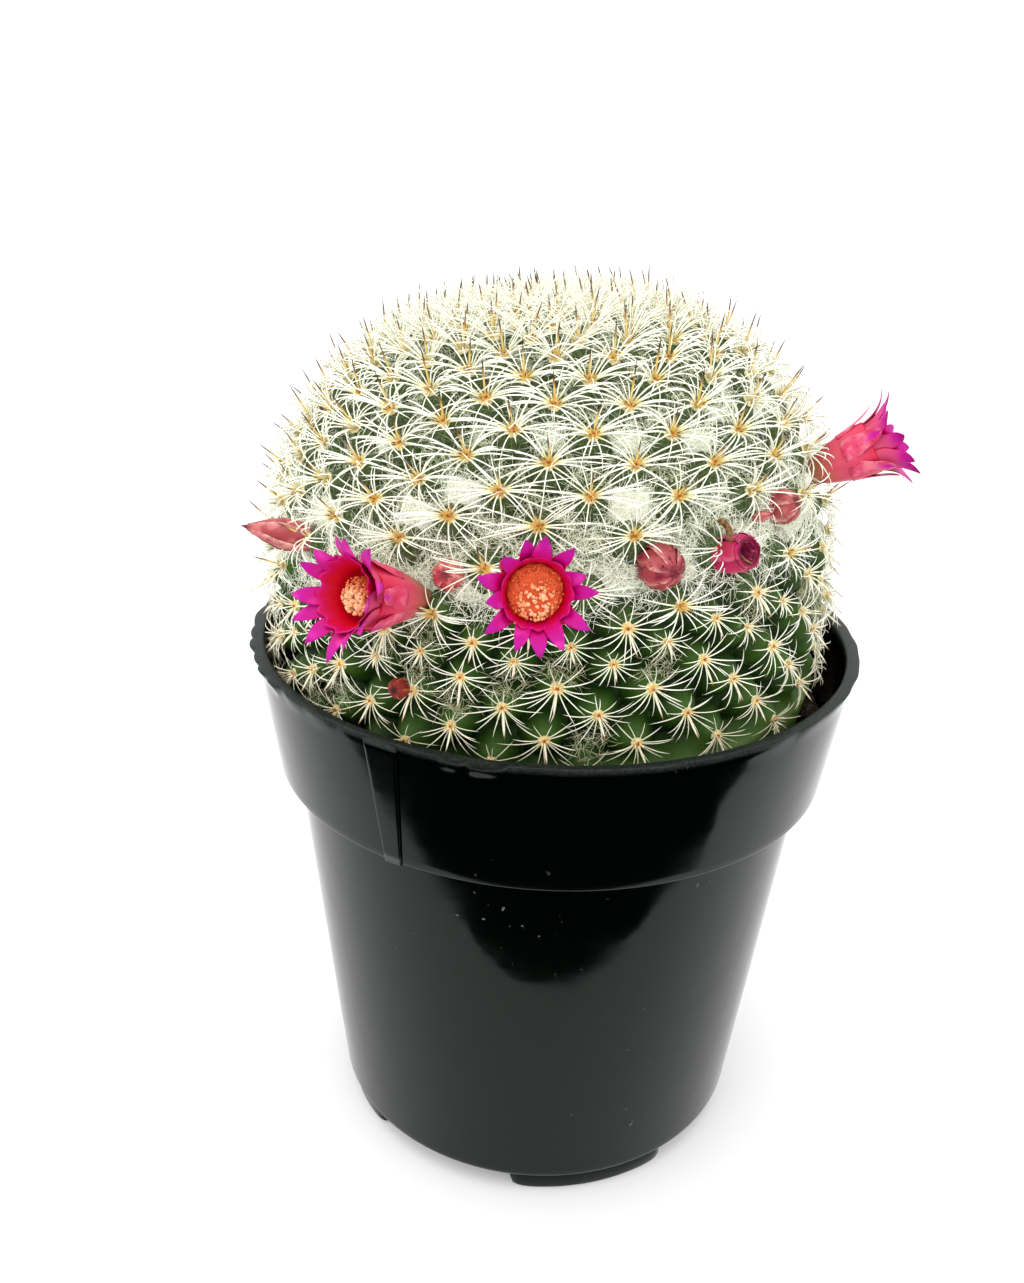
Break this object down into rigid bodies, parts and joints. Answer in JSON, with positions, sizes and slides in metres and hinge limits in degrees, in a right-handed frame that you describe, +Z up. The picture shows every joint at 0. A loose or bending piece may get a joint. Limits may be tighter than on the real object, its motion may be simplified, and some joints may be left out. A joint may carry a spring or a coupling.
{
  "type": "potted round cactus",
  "caption": "Round pincushion cactus with spiral tubercles, white spines and a ring of magenta flowers, standing in a tapered black nursery pot with a deep collar and feet.",
  "frame": {"origin": "on the ground under the middle of the whole outline; the pot's axis is 1.8 mm towards -X and 4.5 mm towards +Y of it, because spines and two flowers reach further out at the left and over the front", "axes": "+Z up from the feet to the crown; -Y is the front with two open flowers, +X is the side with the third flower"},
  "size_m": [0.1103, 0.1138, 0.1561],
  "materials": {
    "pot_plastic": "black injection-moulded polypropylene, glossy with faint smudges and scuffs",
    "potting_mix": null,
    "cactus_flesh": null,
    "tepal": null,
    "flower_tube": null,
    "anther": null,
    "pistil": null,
    "withered_flower": null,
    "dried_fruit": null
  },
  "bodies": {
    "root": {"pot": "pot_plastic", "soil": "potting_mix", "cactus_stem": "cactus_flesh", "bud_left": "flower_tube", "bud_small": "flower_tube", "dried_fruit": "dried_fruit", "flower_front_inner_tepal_1": "tepal", "flower_front_inner_tepal_2": "tepal", "flower_front_inner_tepal_3": "tepal", "flower_front_inner_tepal_4": "tepal", "flower_front_inner_tepal_5": "tepal", "flower_front_inner_tepal_6": "tepal", "flower_front_outer_tepal_1": "tepal", "flower_front_outer_tepal_2": "tepal", "flower_front_outer_tepal_3": "tepal", "flower_front_outer_tepal_4": "tepal", "flower_front_outer_tepal_5": "tepal", "flower_front_outer_tepal_6": "tepal", "flower_front_outer_tepal_7": "tepal", "flower_front_pistil": "pistil", "flower_front_stamens": "anther", "flower_front_tube": "flower_tube", "flower_left_inner_tepal_1": "tepal", "flower_left_inner_tepal_2": "tepal", "flower_left_inner_tepal_3": "tepal", "flower_left_inner_tepal_4": "tepal", "flower_left_inner_tepal_5": "tepal", "flower_left_inner_tepal_6": "tepal", "flower_left_outer_tepal_1": "tepal", "flower_left_outer_tepal_2": "tepal", "flower_left_outer_tepal_3": "tepal", "flower_left_outer_tepal_4": "tepal", "flower_left_outer_tepal_5": "tepal", "flower_left_outer_tepal_6": "tepal", "flower_left_outer_tepal_7": "tepal", "flower_left_pistil": "pistil", "flower_left_stamens": "anther", "flower_left_tube": "flower_tube", "flower_right_inner_tepal_1": "tepal", "flower_right_inner_tepal_2": "tepal", "flower_right_inner_tepal_3": "tepal", "flower_right_inner_tepal_4": "tepal", "flower_right_inner_tepal_5": "tepal", "flower_right_outer_tepal_1": "tepal", "flower_right_outer_tepal_2": "tepal", "flower_right_outer_tepal_3": "tepal", "flower_right_outer_tepal_4": "tepal", "flower_right_outer_tepal_5": "tepal", "flower_right_outer_tepal_6": "tepal", "flower_right_pistil": "pistil", "flower_right_stamens": "anther", "flower_right_tube": "flower_tube", "withered_flower_1": "withered_flower", "withered_flower_2": "withered_flower", "withered_flower_3": "withered_flower", "withered_flower_4": "withered_flower"}
  },
  "joints": []
}
